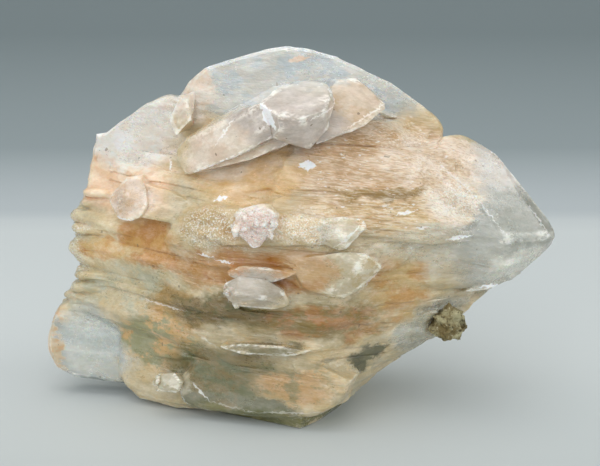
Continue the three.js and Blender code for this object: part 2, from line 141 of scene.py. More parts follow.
def area_light(name, place, target, size, power, colour):
    data = bpy.data.lights.new(name, "AREA")
    data.shape = "RECTANGLE"
    data.size, data.size_y = size
    data.energy = power
    data.color = colour
    ob = bpy.data.objects.new(name, data)
    ob.location = place
    ob.rotation_euler = (Vector(target) - Vector(place)).to_track_quat("-Z", "Y").to_euler()
    bpy.context.scene.collection.objects.link(ob)


def lighting():
    for name, settings in LAMPS.items():
        area_light(name, *settings)
    world = bpy.data.worlds.new("world")
    bpy.context.scene.world = world
    world.use_nodes = True
    background = world.node_tree.nodes["Background"]
    background.inputs[0].default_value = SKY_COLOUR
    background.inputs[1].default_value = SKY_STRENGTH
    bpy.context.scene.view_settings.view_transform = "Standard"


# Noise for the meshes: large whole numbers that scatter its cells, and how far each seed and each of a
# cell's draws moves it
SPREAD = (374761393, 668265263, 2147483647)
SCATTER = 1274126177
WORD = 0xFFFFFFFF
SEED_SHIFT = 17.31
SEED_CELLS = 101
DRAW_CELLS = np.array([57, 31, -13])


def lattice(cells):
    """A repeatable value from 0 to 1 for each whole-number cell."""
    mix = (cells[:, 0] * SPREAD[0] + cells[:, 1] * SPREAD[1] + cells[:, 2] * SPREAD[2]) & WORD
    mix = ((mix ^ (mix >> 13)) * SCATTER) & WORD
    mix = mix ^ (mix >> 16)
    return mix / WORD


def value_noise(points, seed):
    """Smooth noise from -1 to 1 at the points."""
    points = points + seed * SEED_SHIFT
    base = np.floor(points).astype(np.int64)
    part = points - base
    part = part * part * (3 - 2 * part)
    total = np.zeros(len(points))
    for dx in (0, 1):
        for dy in (0, 1):
            for dz in (0, 1):
                weight = (
                    (part[:, 0] if dx else 1 - part[:, 0])
                    * (part[:, 1] if dy else 1 - part[:, 1])
                    * (part[:, 2] if dz else 1 - part[:, 2])
                )
                total += weight * lattice(base + np.array([dx, dy, dz]))
    return total * 2 - 1


def cell_tilt(points, seed):
    """A height from about -0.5 to 0.5, a plane of its own tilt in each cell round a scattered place."""
    base = np.floor(points).astype(np.int64)
    best = np.full(len(points), np.inf)
    height = np.zeros(len(points))
    for dx in (-1, 0, 1):
        for dy in (-1, 0, 1):
            for dz in (-1, 0, 1):
                cell = base + np.array([dx, dy, dz])
                drawn = [lattice(cell + seed * SEED_CELLS + draw * DRAW_CELLS) for draw in range(6)]
                away = points - (cell + np.stack(drawn[:3], 1))
                far = (away**2).sum(1)
                near = far < best
                tilt = (away * (np.stack(drawn[3:], 1) - 0.5)).sum(1)
                best = np.where(near, far, best)
                height = np.where(near, tilt, height)
    return height


def inside(points, centre, radii, soft=0.35):
    """1 in an ellipsoid, falling to 0 round it."""
    reach = np.linalg.norm((points - np.array(centre)) / np.array(radii), axis=1)
    share = np.clip((1 + soft - reach) / (2 * soft), 0, 1)
    return share * share * (3 - 2 * share)


def inside_any(points, zones, soft=0.35):
    share = np.zeros(len(points))
    for centre, radii in zones:
        share = np.maximum(share, inside(points, centre, radii, soft))
    return share


# Mesh work, on arrays of points and of triangles


def mesh_arrays(me):
    """Merged vertices in millimetres of the drawing's frame, and triangles."""
    bm = bmesh.new()
    bm.from_mesh(me)
    bmesh.ops.remove_doubles(bm, verts=bm.verts, dist=2e-6)
    bmesh.ops.triangulate(bm, faces=bm.faces)
    points = np.array([vertex.co for vertex in bm.verts]) * 1000 - SHIFT
    faces = np.array([[vertex.index for vertex in face.verts] for face in bm.faces])
    bm.free()
    return points, faces


def edges_of(faces):
    """The three edges of every triangle, all the first ones first, each with its lower vertex first."""
    return np.sort(np.concatenate([faces[:, [0, 1]], faces[:, [1, 2]], faces[:, [2, 0]]]), axis=1)


def refine(points, faces, stretch, longest, limit):
    """Halves every edge longer than longest, with lengths along each axis weighed by stretch."""
    for _ in range(HALVINGS):
        edges, where = np.unique(edges_of(faces), axis=0, return_inverse=True)
        where = where.reshape(3, -1).T
        start, end = points[edges[:, 0]], points[edges[:, 1]]
        middle = (start + end) / 2
        excess = np.linalg.norm((start - end) * stretch, axis=1) / longest(middle)
        room = (limit - len(faces)) // 2
        split = excess > 1
        if split.sum() > room:
            split = excess > max(1, np.partition(excess, -room - 1)[-room - 1])
        if not split.any():
            break
        added = np.full(len(edges), -1)
        added[split] = len(points) + np.arange(split.sum())
        points = np.concatenate([points, middle[split]])
        faces = divided(faces, added[where])
    return points, faces


def divided(faces, middles):
    """Triangles cut at the new vertices in the middles of their three edges, where -1 stands for none."""
    count = (middles >= 0).sum(axis=1)
    parts = [faces[count == 0]]
    a, b, c = faces[count == 3].T
    x, y, z = middles[count == 3].T
    parts += [np.stack(s, 1) for s in ((a, x, z), (x, b, y), (z, y, c), (x, y, z))]
    for turn in range(3):
        order = [(turn + i) % 3 for i in range(3)]
        corner = faces[:, order]
        new = middles[:, order]
        one = (count == 1) & (new[:, 0] >= 0)
        a, b, c = corner[one].T
        x = new[one, 0]
        parts += [np.stack(s, 1) for s in ((a, x, c), (x, b, c))]
        two = (count == 2) & (new[:, 2] < 0)
        a, b, c = corner[two].T
        x, y = new[two, 0], new[two, 1]
        parts += [np.stack(s, 1) for s in ((x, b, y), (a, x, y), (a, y, c))]
    return np.concatenate(parts)


def corner_normals(points, faces):
    """The outward direction at each point."""
    a, b, c = (points[faces[:, corner]] for corner in range(3))
    normals = np.cross(b - a, c - a)
    out = np.zeros_like(points)
    for corner in range(3):
        np.add.at(out, faces[:, corner], normals)
    return out / np.maximum(np.linalg.norm(out, axis=1, keepdims=True), 1e-9)


class Neighbours:
    """The edges of a mesh, for means over the neighbours of each vertex."""

    def __init__(self, faces, size):
        self.edges = np.unique(edges_of(faces), axis=0)
        self.size = size
        self.number = np.bincount(self.edges.ravel(), minlength=size).astype(float)

    def mean(self, values):
        a, b = self.edges.T
        total = np.bincount(a, values[b], self.size) + np.bincount(b, values[a], self.size)
        return total / self.number

    def middle(self, points):
        return np.stack([self.mean(points[:, axis]) for axis in range(3)], 1)


def mesh_object(name, points, faces, smooth_angle):
    me = bpy.data.meshes.new(name)
    me.from_pydata(((points + SHIFT) / 1000).tolist(), [], faces.tolist())
    me.update()
    me.polygons.foreach_set("use_smooth", np.ones(len(me.polygons), bool))
    me.set_sharp_from_angle(angle=math.radians(smooth_angle))
    ob = bpy.data.objects.new(name, me)
    bpy.context.scene.collection.objects.link(ob)
    return ob


# Broad clear faces that stay smooth: the crown, the wing, the lobe, the spear, the top crystals, the honey
# hollow, the left side and the small clear crystals.
SMOOTH = [
    ((2, 6, 76), (32, 12, 11)),
    ((-38, 6, 64), (13, 10, 9)),
    ((-50, 8, 12), (13, 10, 11)),
    ((48, 0, 44), (15, 16, 17)),
    ((-4, -14, 71), (14, 9, 8)),
    ((-18, -10, 63), (13, 8, 7)),
    ((13, -10, 73), (9, 8, 8)),
    ((-12, -13, 58), (13, 8, 7)),
    ((-46, 0, 40), (12, 12, 14)),
    ((11, -21, 38), (9, 5, 7)),
    ((-9, -24, 35), (9, 4, 6)),
    ((-20, -10, 10), (14, 8, 8)),
]

# Crystals and edges that stay crisp where the trunk round them is worn soft.
CRISP = [
    ((-1, -14, 72), (11, 9, 9)),
    ((-17, -11, 64), (13, 8, 8)),
    ((13, -8, 73), (9, 9, 9)),
    ((-27, -1, 70), (4, 8, 6)),
    ((-39, -6, 51.5), (6, 6, 6)),
    ((-10, -23, 49), (7, 4, 6)),
    ((9, -22, 47.5), (7, 4, 5)),
    ((11, -21, 37.5), (9, 5, 7)),
    ((-9, -23, 35), (9, 4, 7)),
    ((-8, -19, 20), (12, 4, 2.2)),
    ((9, -16, 15), (7, 6, 5)),
    ((15, -11, 16), (5, 5, 6)),
    ((-31, -10, 9), (5, 5, 4)),
    ((48, 0, 46), (13, 16, 18)),
    ((46, 0, 30), (10, 16, 3)),
    ((2, 6, 76), (34, 12, 12)),
    ((-40, 6, 64), (13, 10, 10)),
    ((-53, 8, 11), (11, 12, 11)),
    ((0, 0, 0), (60, 40, 4)),
]

# The silky face, where fine blades show as lines.
SILKY = [((16, -8, 58), (26, 20, 13)), ((22, -8, 49), (22, 18, 5))]

# Rough, sugary ledges
SUGARY = [
    ((-19, -15.5, 47), (11, 6, 5)),
    ((-57, 5, 38), (6, 12, 13)),
    ((-10, -23, 49.6), (5, 3.4, 5)),
    ((1, -21, 48), (8, 6, 4.6)),
    ((36, -7, 51), (6, 5, 3.4)),
]

# The crystal's mesh: its longest edge in millimetres in front and at the back, the place from front to back
# where that starts to change and how far it takes, how little length along the blades counts, and the most
# triangles.
FRONT_EDGE = 0.55
BACK_EDGE = 1.05
EDGE_CHANGE = {"start": 2, "run": 8}
ALONG_BLADES = np.array([0.4, 1, 1])
CRYSTAL_LIMIT = 165000

# The most rounds in which edges are halved
HALVINGS = 14

# The crystal's wear: the share of the way to its neighbours' mean that a point moves in a round, the number
# of rounds, and how much of the wear the broken left edge is spared.
WEAR = {"share": 0.6, "rounds": 12, "spared": 0.35}

# How far a point stands out of its neighbours' mean, in millimetres, where it is fully a rim
RIM_HEIGHT = 0.12

# The height in millimetres over which the relief fades out, because the foot stays flat on the table
FOOT_FADE = 1.2

# Edges that turn by more than these angles, in degrees, are drawn sharp.
SHARP = {"crystal": 26, "rock": 40}

# The rock's mesh: its longest edge in millimetres and the most triangles
ROCK_EDGE = 0.3
ROCK_LIMIT = 40000

# The rock's waves: height and pitch in millimetres, and seed
ROCK_WAVES = [(0.7, 2.4, 10), (0.4, 1.1, 11), (0.12, 0.5, 12)]

# A small hollow in the rock: its centre and radii
ROCK_HOLLOW = ((33.5, -12.5, 24.5), (1.7, 2.4, 1.3))


def crystal_edges(points):
    """The longest edge left at each point, which grows towards the back."""
    behind = np.clip((points[:, 1] - EDGE_CHANGE["start"]) / EDGE_CHANGE["run"], 0, 1)
    return FRONT_EDGE + (BACK_EDGE - FRONT_EDGE) * behind


def rock_edges(points):
    return np.full(len(points), ROCK_EDGE)


def worn(points, near, crisp):
    """Points worn soft, but not on the crisp crystals and less at the broken left edge."""
    broken = np.clip((-50 - points[:, 0]) / 3, 0, 1)
    kept = np.maximum(crisp, WEAR["spared"] * broken)
    share = (WEAR["share"] * (1 - kept))[:, None]
    for _ in range(WEAR["rounds"]):
        points = points + (near.middle(points) - points) * share
    return points


def crystal_relief(points, rim):
    """How far each point of the crystal is pushed out, in millimetres."""
    rough = 1 - 0.8 * inside_any(points, SMOOTH)
    silky = inside_any(points, SILKY)
    sugary = inside_any(points, SUGARY)
    left = np.clip((-46 - points[:, 0]) / 8, 0, 1) * (points[:, 2] > 22)
    layered = np.stack([points[:, 0], points[:, 1], points[:, 2] + SLOPE * points[:, 0]], 1)
    waves = value_noise(points / np.array([14, 8, 8]), 1)
    steps = np.round(value_noise(layered / np.array([17, 2.2, 1.3]), 2) * 3) / 3
    striations = value_noise(layered / np.array([6, 1.1, 0.62]), 3)
    grain = value_noise(points / np.array([1.5, 1, 1]), 4)
    large_facets = cell_tilt(layered / np.array([6, 3.4, 3.2]), 1)
    small_facets = cell_tilt(layered / np.array([2.2, 1.6, 1.3]), 2)
    chips = np.clip(value_noise(points / 1.7, 7) + 0.1, 0, 1)
    fractures = value_noise(points / np.array([1.2, 1.6, 1.1]), 5)
    push = 0.2 * waves * (0.4 + 0.6 * rough)
    push += (0.06 * rough + 0.1 * silky) * steps
    push += (0.03 + 0.03 * rough + 0.07 * silky) * striations
    push += (0.02 + 0.03 * rough + 0.22 * sugary) * grain
    push += (0.05 + 0.36 * rough * (1 - silky)) * large_facets
    push += (0.05 + 0.14 * rough) * small_facets
    push -= 0.3 * rim * chips
    push += left * 0.3 * fractures
    return push


def crystal():
    points, faces = mesh_arrays(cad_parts["selenite_blade"].data)
    points, faces = refine(points, faces, ALONG_BLADES, crystal_edges, CRYSTAL_LIMIT)
    near = Neighbours(faces, len(points))
    stands_out = ((points - near.middle(points)) * corner_normals(points, faces)).sum(1)
    crisp = inside_any(points, CRISP, 0.2)
    rim = np.clip(1.8 * near.mean(np.clip(stands_out / RIM_HEIGHT, 0, 1)), 0, 1) * (0.2 + 0.8 * crisp)
    points = worn(points, near, crisp)
    push = crystal_relief(points, rim) * np.clip(points[:, 2] / FOOT_FADE, 0, 1)
    points = points + corner_normals(points, faces) * push[:, None]
    points[:, 2] = np.maximum(points[:, 2], 0)
    ob = mesh_object("crystal", points, faces, SHARP["crystal"])
    ob.data.attributes.new("rim", "FLOAT", "POINT").data.foreach_set("value", rim)
    return ob


def rock():
    points, faces = mesh_arrays(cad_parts["matrix_lump"].data)
    points, faces = refine(points, faces, np.ones(3), rock_edges, ROCK_LIMIT)
    waves = sum(height * value_noise(points / pitch, seed) for height, pitch, seed in ROCK_WAVES)
    push = np.minimum(waves - 0.35, 0.12) - 0.8 * inside(points, *ROCK_HOLLOW, 0.4)
    points = points + corner_normals(points, faces) * push[:, None]
    return mesh_object("matrix", points, faces, SHARP["rock"])


# Materials


class Nodes:
    """A material's nodes, with a short call for each kind used here."""

    def __init__(self, name):
        self.mat = bpy.data.materials.new(name)
        self.mat.use_nodes = True
        self.nt = self.mat.node_tree
        self.bsdf = self.nt.nodes["Principled BSDF"]

    def add(self, kind, **settings):
        node = self.nt.nodes.new("ShaderNode" + kind)
        for key, value in settings.items():
            setattr(node, key, value)
        return node

    def link(self, a, b):
        self.nt.links.new(a, b)

    def value(self, socket, given):
        if isinstance(given, bpy.types.NodeSocket):
            self.link(given, socket)
        else:
            socket.default_value = given

    def surface(self, settings):
        """Sets inputs of the material's shader by their names."""
        for name, given in settings.items():
            self.value(self.bsdf.inputs[name], given)

    def bump(self, height, strength, distance):
        node = self.add("Bump")
        node.inputs["Strength"].default_value = strength
        node.inputs["Distance"].default_value = distance
        self.link(height, node.inputs["Height"])
        self.link(node.outputs[0], self.bsdf.inputs["Normal"])

    def math(self, operation, a, b=0.0, clamp=False):
        node = self.add("Math", operation=operation, use_clamp=clamp)
        self.value(node.inputs[0], a)
        self.value(node.inputs[1], b)
        return node.outputs[0]

    def total(self, *parts):
        out = parts[0]
        for part in parts[1:]:
            out = self.math("ADD", out, part)
        return out

    def times(self, *parts):
        out = parts[0]
        for part in parts[1:]:
            out = self.math("MULTIPLY", out, part)
        return out

    def vector(self, operation, a, b=(0, 0, 0), c=None):
        node = self.add("VectorMath", operation=operation)
        self.value(node.inputs[0], a)
        self.value(node.inputs[1], b)
        if c is not None:
            self.value(node.inputs[2], c)
        return node.outputs["Value" if operation in ("LENGTH", "DOT_PRODUCT") else "Vector"]

    def ranged(self, given, low, high, to_low=0.0, to_high=1.0):
        node = self.add("MapRange", interpolation_type="SMOOTHSTEP")
        self.value(node.inputs["Value"], given)
        node.inputs["From Min"].default_value = low
        node.inputs["From Max"].default_value = high
        node.inputs["To Min"].default_value = to_low
        node.inputs["To Max"].default_value = to_high
        return node.outputs[0]

    def noise_node(self, coords, scale, detail, rough):
        node = self.add("TexNoise")
        self.link(coords, node.inputs["Vector"])
        node.inputs["Scale"].default_value = scale
        node.inputs["Detail"].default_value = detail
        node.inputs["Roughness"].default_value = rough
        return node

    def noise(self, coords, scale, detail, rough=0.55):
        return self.noise_node(coords, scale, detail, rough).outputs["Fac"]

    def shifted(self, place, coords, reach, scale, detail, rough=0.5):
        """Places moved by noise at coords, by up to half of reach along each axis."""
        colour = self.noise_node(coords, scale, detail, rough).outputs["Color"]
        offset = self.vector("SUBTRACT", colour, (0.5, 0.5, 0.5))
        return self.vector("MULTIPLY_ADD", offset, reach, place)

    def zone(self, coords, centre, radii, outer=1.25, inner=0.7):
        """1 in an ellipsoid given in the drawing's millimetres, falling to 0 round it."""
        inverse = [1000 / r for r in radii]
        offset = [-a * b for a, b in zip(at(*centre), inverse)]
        reach = self.vector("LENGTH", self.vector("MULTIPLY_ADD", coords, inverse, offset))
        return self.ranged(reach, outer, inner)

    def mixed(self, factor, a, b):
        node = self.add("Mix", data_type="RGBA")
        self.value(node.inputs["Factor"], factor)
        self.value(node.inputs[6], a if isinstance(a, bpy.types.NodeSocket) else (*a, 1))
        self.value(node.inputs[7], b if isinstance(b, bpy.types.NodeSocket) else (*b, 1))
        return node.outputs[2]


# What fills each part of the crystal, later ones over earlier ones: name, centre and radii in millimetres,
# colour, colour of its patches, how clear it is, how rough, and how strong its lines are.
FILLS = [
    ("upper back", (0, 26, 62), (50, 14, 24), "E6D4B4", "D0C8AC", 0.2, 0.35, 0.5),
    ("lower back", (0, 26, 16), (50, 14, 20), "C4A676", "A29E7C", 0.25, 0.35, 0.4),
    ("left upper veil", (-42, 2, 55), (14, 22, 9), "F6D8B8", "ECC8A2", 0.1, 0.4, 0.15),
    ("left edge", (-54, 6, 36), (8, 18, 15), "E4D2A8", "D6CEB0", 0.3, 0.4, 0.3),
    ("left middle", (-42, 0, 38), (14, 14, 8), "EAD6AC", "DFC696", 0.12, 0.4, 0.3),
    ("right middle", (28, -4, 42), (18, 20, 8), "F0E6CE", "EADABA", 0.3, 0.3, 0.3),
    ("spear", (48, 2, 46), (18, 24, 20), "D4D3C8", "CAC9BE", 0.4, 0.24, 0.05),
    ("spear top", (44, 2, 58), (10, 12, 6), "E0D8CC", "DAD0C2", 0.3, 0.3, 0.0),
    ("spear underside", (50, -4, 36), (11, 8, 4), "F4F0E2", "ECE8D8", 0.3, 0.26, 0.0),
    ("spear face", (50, -3, 46), (7, 8, 6), "B0B2A4", "C0BFB2", 0.5, 0.2, 0.0),
    ("lower right", (29, 0, 21), (10, 20, 8), "E6E2D0", "D2CCB4", 0.45, 0.26, 0.1),
    ("silk", (14, -4, 59), (22, 22, 11), "D0AA7E", "DABA94", 0.1, 0.34, 1.0),
    ("silk low", (18, -10, 50), (20, 18, 4), "DAB888", "E2C698", 0.12, 0.32, 1.0),
    ("silk end", (35, -8, 52), (7, 12, 6), "F0DCC2", "F4E4D0", 0.12, 0.34, 0.7),
    ("silk right", (30, -6, 60), (12, 10, 7), "E0C4A2", "E8D2BA", 0.1, 0.34, 0.8),
    ("olive streak", (18, -12, 54.5), (14, 6, 1.3), "A88850", "B89658", 0.15, 0.3, 0.7),
    ("crown", (0, 6, 78), (36, 22, 11), "F0EBE0", "DEE4E4", 0.42, 0.24, 0.0),
    ("crown edge", (-25, 4, 75), (4.5, 12, 8), "EAE0D2", "E8D4BE", 0.2, 0.3, 0.0),
    ("wing", (-38, 6, 66), (13, 16, 9), "F6F0E6", "F4E6D8", 0.3, 0.28, 0.0),
    ("honey hollow", (-11, -10, 58.5), (15, 12, 7), "E8C48C", "DEB67C", 0.15, 0.22, 0.1),
    ("orange spot", (4, -10, 63.5), (5, 6, 2), "CE9450", "D8A866", 0.1, 0.3, 0.6),
    ("ledge", (-14, -15, 48), (15, 10, 4.2), "C8A470", "D2B888", 0.08, 0.45, 0.1),
    ("bright ledge", (1, -21.5, 48), (7, 5, 4), "EAD4B2", "F2E0C2", 0.0, 0.4, 0.2),
    ("orange pocket", (-34, -4, 42.5), (9, 10, 4.6), "C98F44", "D6A65E", 0.12, 0.35, 0.1),
    ("orange left", (-47, 2, 38.5), (6, 8, 2.2), "DBA862", "E0BC80", 0.15, 0.38, 0.2),
    ("below the pocket", (-33, -7, 37.2), (10, 6, 2.2), "D09A54", "C48C42", 0.1, 0.36, 0.2),
    ("orange band", (-6, -12, 38), (24, 14, 5.5), "B87C38", "C08E4C", 0.1, 0.38, 0.2),
    ("orange right", (21, -8, 32.5), (8, 14, 7), "CE9F5E", "D4B57C", 0.18, 0.36, 0.15),
    ("middle of the band", (1, -16, 38.5), (7, 8, 3.4), "D2AE7C", "CCA878", 0.15, 0.34, 0.2),
    ("brown below", (4, -12, 26), (15, 14, 5), "B07E42", "967E44", 0.15, 0.35, 0.15),
    ("left low veil", (-40, -2, 30), (16, 18, 6), "DAC89C", "CCC6A6", 0.25, 0.32, 0.3),
    ("honey low left", (-27, -9, 27), (9, 12, 5), "C49A58", "B59456", 0.15, 0.34, 0.2),
    # Painted shade: the olive zone is darkened for the shade under the overhanging chunks, on the crystal's
    # own olive.
    ("olive", (-16, -10, 28), (13, 14, 4.6), "6E6832", "887038", 0.3, 0.28, 0.1),
    ("mottled", (-32, -4, 17), (12, 14, 8), "DCB478", "A6A276", 0.2, 0.32, 0.1),
    ("green grey", (-17, -10, 12), (15, 12, 8), "82845C", "9C8A5C", 0.35, 0.28, 0.1),
    ("low peach", (0, -14, 11), (11, 10, 5), "D2AC78", "A6966A", 0.18, 0.32, 0.1),
    ("lobe", (-51, 8, 12), (11, 16, 11), "E6E6DC", "DADED8", 0.42, 0.24, 0.0),
    ("lobe edge", (-61, 8, 13), (3.2, 16, 12), "DAB282", "D6C2A0", 0.15, 0.45, 0.0),
    ("lobe foot", (-50, 5, 3.5), (12, 10, 1.8), "9CA5A4", "AEB2AC", 0.4, 0.24, 0.0),
    ("foot plate", (-15, -14, 4.6), (22, 9, 3), "9C9A80", "AC9E7E", 0.35, 0.24, 0.0),
    ("foot", (-5, -8, 2), (24, 16, 3), "76784A", "908C58", 0.35, 0.22, 0.1),
    ("top crystals", (-3, -16, 70), (22, 9, 9), "D8CABC", "E2D4C8", 0.35, 0.14, 0.0),
    ("top blade", (-18, -12, 63), (13, 7, 7), "EEDECA", "E8D2BA", 0.2, 0.16, 0.0),
    ("right plate", (14, -10, 73), (8, 8, 7), "E6CAA8", "EAD4BA", 0.3, 0.16, 0.1),
    ("knot", (-10, -24, 49.6), (6.5, 3.6, 5.4), "FAE8DC", "F0D6C8", 0.12, 0.3, 0.0),
    ("left crystal", (-39, -6, 51.5), (5.6, 5, 5.4), "E4CEB8", "DCBC98", 0.15, 0.3, 0.1),
    ("middle tip", (9, -23.5, 47.5), (5.5, 4, 4), "F0E2CA", "E6D6B4", 0.25, 0.16, 0.0),
    ("right tip", (12, -21, 38), (7, 4, 6), "E4D6B6", "D8C294", 0.3, 0.18, 0.1),
    ("chunks", (-10, -24, 35.5), (8, 3.4, 5.5), "D8CCBA", "CABEAA", 0.35, 0.16, 0.0),
    ("low blade", (-8, -20, 20), (12, 3, 1.8), "A89C78", "988E68", 0.3, 0.22, 0.1),
    ("dark facet", (14.5, -11, 15.8), (4.4, 4, 4.6), "706E50", "807C58", 0.35, 0.18, 0.0),
    ("foot crystal", (-31, -10, 9), (4.6, 4, 3.4), "DED6BE", "CFC4A4", 0.3, 0.22, 0.0),
    ("orange speck", (-21.8, -4, 67.7), (1, 3, 0.8), "D89A56", "D89A56", 0.1, 0.3, 0.0),
    ("peach streak", (-1.5, 4, 82.3), (3, 5, 0.8), "ECC8A8", "EED4BC", 0.2, 0.3, 0.0),
]

# Painted highlights where bright cracks, edges and cleavage faces catch the light: name, start, end and width
# in millimetres, and how bright each is.
FLASHES = [
    ("upper dash on the step", (21.5, -15, 50), (25.5, -14, 50.5), 0.7, 0.7),
    ("middle dash on the step", (25.5, -15.5, 47), (29.5, -15, 47), 0.5, 0.6),
    ("right dash on the step", (33, -13.5, 44), (38.5, -10, 44), 0.9, 0.7),
    ("left dash on the ledge", (-23, -14.5, 41), (-19.5, -17, 40.5), 0.5, 0.7),
    ("right dash on the ledge", (-19, -17, 40), (-15, -17.5, 39.5), 0.5, 0.7),
    ("crack at the foot", (-25, -11, 9), (-21, -12.5, 5), 0.5, 0.6),
    ("small crack at the foot", (-28.5, -13, 7), (-26, -7.5, 2), 0.4, 0.4),
    ("long crack under the top blade", (-25.5, -7.5, 57.5), (-6, -15, 66.5), 0.6, 0.6),
    ("crack up the top blade", (-19, -10.5, 64.5), (-14, -9, 71.5), 0.5, 0.5),
    ("crack in the notch", (-30, -3, 61), (-29.5, -4, 57.5), 0.9, 0.7),
    ("cleavage face in the hollow", (0, -12.5, 60.5), (3.5, -12, 60.5), 1.9, 1.0),
    ("small face in the hollow", (-19, -12, 52.5), (-16.5, -12.5, 53.5), 0.9, 0.9),
    ("white face on the top crystal", (-8.5, -14.5, 74.5), (-5.5, -18, 70), 2.2, 0.9),
    ("top crystal's right edge", (6.5, -9.5, 77.5), (7.5, -11.5, 74), 0.7, 0.5),
    ("top crystal's lower edge", (7.5, -11.5, 74), (2, -18, 71.5), 0.6, 0.5),
    ("right plate's edge", (19, -5, 73.5), (10, -12, 68.5), 0.5, 0.4),
    ("foot's edge on the left", (-21, -12.5, 5), (-11.5, -15.5, 3.5), 0.4, 0.3),
    ("foot's edge on the right", (-11.5, -15.5, 3.5), (4.5, -20.5, 5), 0.4, 0.3),
    ("curved crack", (-24.5, -13, 22.5), (-18.5, -14.5, 18.5), 0.4, 0.3),
    ("low blade's edge", (-19, -14.5, 18.5), (2, -19, 19.5), 0.5, 0.2),
    ("chunk's left edge", (-16.5, -17, 35.5), (-16, -18.5, 31), 0.7, 0.5),
    ("chunk's lower edge", (-16, -18.5, 31), (-11, -18, 29), 0.6, 0.5),
    ("right tip's edge", (18.5, -15.5, 38), (13, -17, 32.5), 0.4, 0.45),
    ("middle tip's edge", (6.5, -20.5, 43.5), (14, -22, 50), 0.7, 0.5),
    ("spear's edge", (53, -1, 49), (58, -2.5, 42), 0.4, 0.5),
    ("spear's lip", (41.5, -7, 31), (46.5, -5.5, 31), 0.7, 0.8),
    ("left crystal's left edge", (-44, -2, 51.5), (-43, -2.5, 47.5), 0.8, 0.6),
    ("left crystal's lower edge", (-43, -2.5, 47), (-37, -8.5, 47), 0.9, 0.6),
    ("low blade's line", (-37, -5, 27.5), (-26.5, -11.5, 26.5), 0.35, 0.4),
    ("silk's upper edge", (31, -4, 60), (39, -5.5, 53), 0.3, 0.4),
    ("silk's lower edge", (39, -5.5, 53), (47, -7.5, 43.5), 0.3, 0.45),
    ("glint on the spear", (43, 3, 62.5), (45, 3, 60.5), 0.5, 0.8),
    ("knot's left edge", (-15.5, -18.5, 47.5), (-13, -22.5, 52), 0.8, 0.6),
    ("knot's lower edge", (-15.5, -19, 47), (-9.5, -25, 45), 0.8, 0.7),
]

# The half sizes of a flash's diamond: shares of its length and its width, and its depth in metres
FLASH_LENGTH = 0.65
FLASH_WIDTH = 2 / 3
FLASH_DEPTH = 0.008

# Colours of the small marks in the crystal
MARKS = {
    # The blades' own striations, partly brightened as painted silky sheen
    "pale line": linear("FAEEDA"),
    "dark line": linear("9C7A4A"),
    # Also whitens the edges, partly as painted highlight
    "grain": linear("FFFBF2"),
    "gap": linear("A48A5C"),
    # White of the painted highlights
    "flash": linear("FFFFFF"),
    "speck": linear("7A6248"),
}

# Colours of the rock
ROCK = {
    "brown": linear("7A6A40"),
    "grey": linear("B0A882"),
    "pale": linear("C4BC9C"),
    # Painted shade for the low spots of the rock's bump
    "pit_shade": linear("3A3018"),
}

# The crystal outside every zone of FILLS: its two colours, and how clear, how rough and how lined it is
PLAIN = ("DCC596", "D0BF98", (0.2, 0.35, 0.3))


def flashes(n, place):
    """How strongly the painted highlight of a bright crack, edge or face shows at each place."""
    lit = 0.0
    for _, start, end, width, strength in FLASHES:
        run = at(*end) - at(*start)
        along = run.normalized()
        depth = (Vector((0, 1, 0)) - along * along.y).normalized()
        turn = Matrix((along, depth, along.cross(depth))).transposed()
        size = (run.length * FLASH_LENGTH, FLASH_DEPTH, width / 1000 * FLASH_WIDTH)
        mapping = n.add("Mapping", vector_type="TEXTURE")
        n.link(place, mapping.inputs["Vector"])
        mapping.inputs["Location"].default_value = (at(*start) + at(*end)) / 2
        mapping.inputs["Rotation"].default_value = turn.to_euler()
        mapping.inputs["Scale"].default_value = size
        reach = n.vector("DOT_PRODUCT", n.vector("ABSOLUTE", mapping.outputs[0]), (1, 1, 1))
        lit = n.math("MAXIMUM", lit, n.ranged(reach, 1.1, 0.8, 0.0, strength))
    return lit


def sugar_share(n, coords):
    """1 on the sugary ledges, falling to 0 round them."""
    share = 0.0
    for centre, radii in SUGARY:
        share = n.math("MAXIMUM", share, n.zone(coords, centre, radii))
    return share


def filling(n, coords):
    """The two colours at each place, and how clear, how rough and how lined it is."""
    first, second = (linear(code) for code in PLAIN[:2])
    nature = PLAIN[2]
    for _, centre, radii, code, patch_code, clear, rough, lined in FILLS:
        share = n.zone(coords, centre, radii)
        first = n.mixed(share, first, linear(code))
        second = n.mixed(share, second, linear(patch_code))
        nature = n.mixed(share, nature, (clear, rough, lined))
    natures = n.add("SeparateXYZ")
    n.link(nature, natures.inputs[0])
    clear, rough, lined = natures.outputs
    return first, second, clear, rough, lined


def along_blades(n, place):
    """Places sheared so that the blades run level."""
    sep = n.add("SeparateXYZ")
    n.link(place, sep.inputs[0])
    level = n.add("CombineXYZ")
    n.link(sep.outputs["X"], level.inputs[0])
    n.link(sep.outputs["Y"], level.inputs[1])
    n.link(n.total(sep.outputs["Z"], n.times(sep.outputs["X"], SLOPE)), level.inputs[2])
    return level.outputs[0]


def toned(n, colour, mottle, veil, cloud):
    """A colour made lighter by grain, veils and clouds, and paler by the first two."""
    tone = n.add("HueSaturation")
    n.link(colour, tone.inputs["Color"])
    value = n.total(0.79, n.times(mottle, 0.34), n.times(veil, 0.09), n.times(cloud, 0.1))
    n.link(value, tone.inputs["Value"])
    n.link(n.total(1.08, n.times(veil, -0.2), n.times(mottle, -0.1)), tone.inputs["Saturation"])
    return tone.outputs[0]


